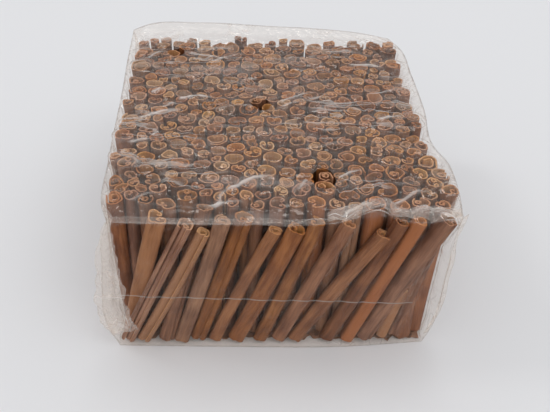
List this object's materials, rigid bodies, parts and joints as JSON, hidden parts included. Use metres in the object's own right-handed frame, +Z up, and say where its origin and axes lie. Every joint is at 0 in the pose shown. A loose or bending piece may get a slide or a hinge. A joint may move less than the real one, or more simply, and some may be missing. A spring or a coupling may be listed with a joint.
{
  "type": "bagged bundle of cinnamon sticks",
  "caption": "Block of upright cinnamon sticks packed side by side in a clear film bag, cut ends up, resting on its flat bottom.",
  "frame": {"origin": "centre of the outline's box, on the surface that the bag stands on", "axes": "+X to the right of the front, where the sticks lean in one row; +Y to the back; +Z up, along the sticks"},
  "size_m": [0.196, 0.212, 0.1045],
  "materials": {
    "bark": "dry, matt, seen through clear film",
    "film": "clear, wrinkled, glossy"
  },
  "bodies": {
    "root": {"stick_bundle": "bark"}
  },
  "joints": []
}
